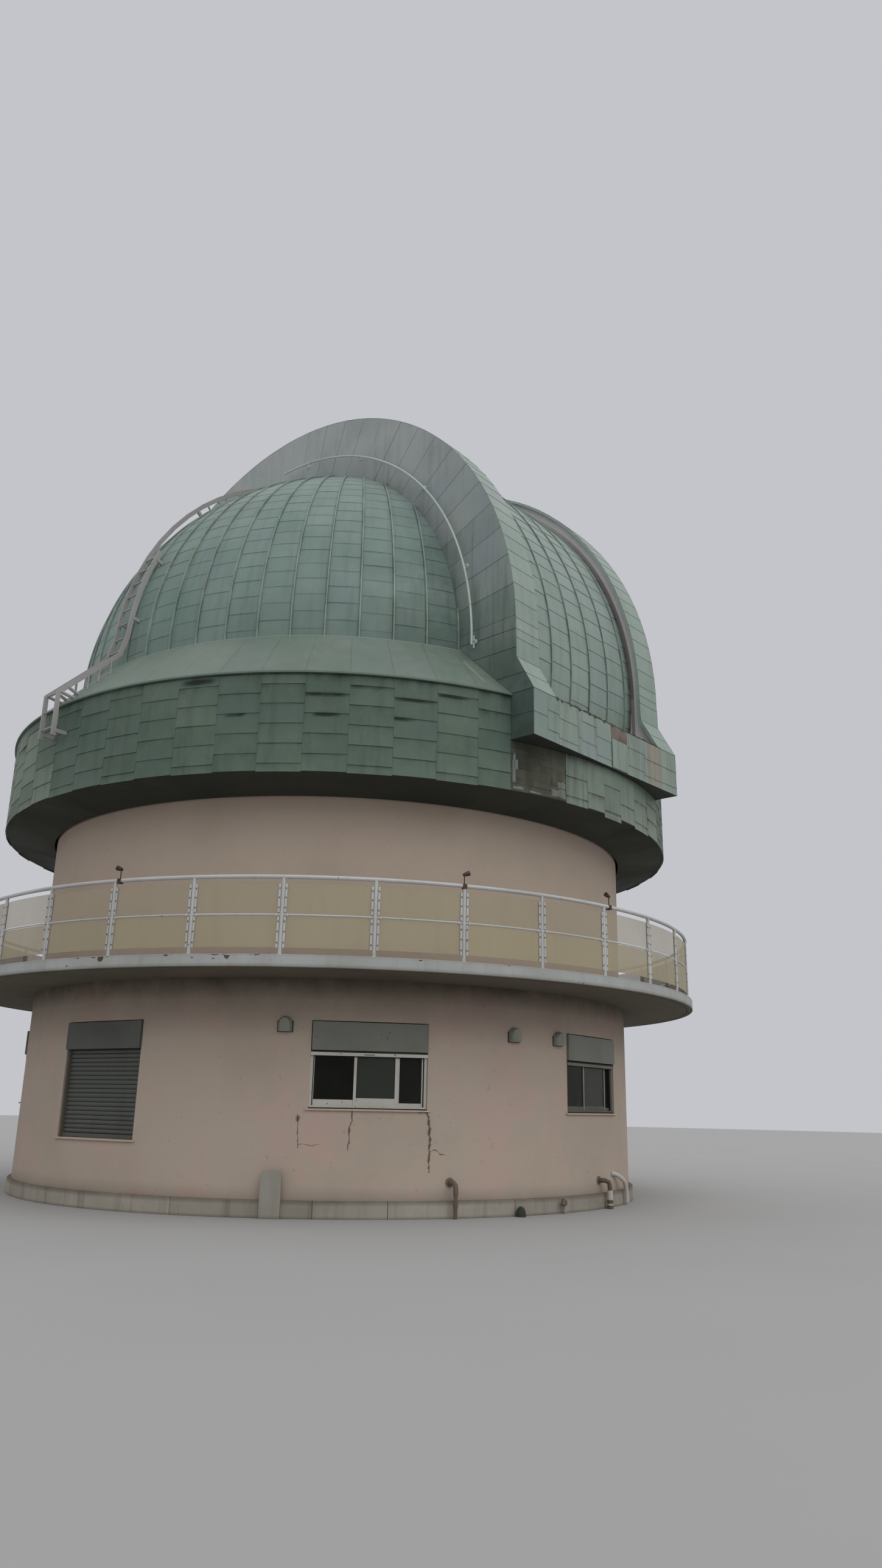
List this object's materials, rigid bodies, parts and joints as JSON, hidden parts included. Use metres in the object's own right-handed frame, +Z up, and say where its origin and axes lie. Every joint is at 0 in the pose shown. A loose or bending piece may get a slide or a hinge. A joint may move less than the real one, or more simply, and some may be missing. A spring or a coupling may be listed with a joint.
{
  "type": "observatory dome tower",
  "caption": "Round observatory tower with a ring balcony and a turning copper dome whose curved shutter slides over the top between its arches.",
  "frame": {"origin": "on the ground, at the axis of the round tower, which is also the axis the dome turns about", "axes": "+Z up, -Y the front, where the dome's slit looks at rest, +X to the right of someone looking out of the front"},
  "size_m": [13.51, 13.51, 14.861],
  "materials": {
    "foundation_concrete": "weathered grey concrete",
    "wall_plaster": "weathered pinkish-beige plaster with cracks",
    "balcony_paint": "pale grey painted concrete, chipped",
    "window_metal": "satin, dusty",
    "window_glass": "clear, dusty",
    "door_paint": "grey paint, worn",
    "railing_paint": "white paint, weathered",
    "railing_panel": "yellowed translucent sheet",
    "dark_steel": "dark paint, sooty",
    "ladder_steel": "grey paint, weathered",
    "arch_copper": "grey-green copper patina",
    "dome_copper": "green copper patina with laps and streaks"
  },
  "bodies": {
    "tower": {"balcony_door": "door_paint", "balcony_slab": "balcony_paint", "foundation": "foundation_concrete", "glass_2": "window_glass", "glass_3": "window_glass", "glass_5": "window_glass", "glass_6": "window_glass", "glass_7": "window_glass", "glass_8": "window_glass", "ground_door": "door_paint", "ground_wall_1": "wall_plaster", "ground_wall_2": "wall_plaster", "ground_wall_3": "wall_plaster", "ground_wall_4": "wall_plaster", "ground_wall_5": "wall_plaster", "ground_wall_6": "wall_plaster", "ground_wall_7": "wall_plaster", "ground_wall_8": "wall_plaster", "railing_1": "railing_paint", "railing_10": "railing_paint", "railing_11": "railing_paint", "railing_2": "railing_paint", "railing_3": "railing_paint", "railing_4": "railing_paint", "railing_5": "railing_paint", "railing_6": "railing_paint", "railing_7": "railing_paint", "railing_8": "railing_paint", "railing_9": "railing_paint", "track": "dark_steel", "upper_wall_1": "wall_plaster", "upper_wall_2": "wall_plaster", "upper_wall_3": "wall_plaster", "upper_wall_4": "wall_plaster", "window_1": "window_metal", "window_2": "window_metal", "window_3": "window_metal", "window_5": "window_metal", "window_6": "window_metal", "window_7": "window_metal", "window_8": "window_metal"},
    "dome": {"wheel_ring": "dark_steel", "dome_shell": "dome_copper", "skirt": "dome_copper", "skirt_soffit": "dark_steel", "apron_left": "dome_copper", "apron_right": "dome_copper", "arch_left": "arch_copper", "arch_right": "arch_copper", "front_sill": "dome_copper", "rear_sill": "dome_copper", "ladder": "ladder_steel", "grab_rail": "ladder_steel"},
    "shutter": {"shutter": "dome_copper"}
  },
  "joints": [
    {"name": "dome_rotation", "type": "hinge", "parent": "tower", "child": "dome", "pos_m": [0, 0, 6.33], "axis": [0, 0, 1], "continuous": true},
    {"name": "shutter_travel", "type": "hinge", "parent": "dome", "child": "shutter", "pos_m": [0, 0, 8.775], "axis": [-1, 0, 0], "range_deg": [0, 97]}
  ]
}
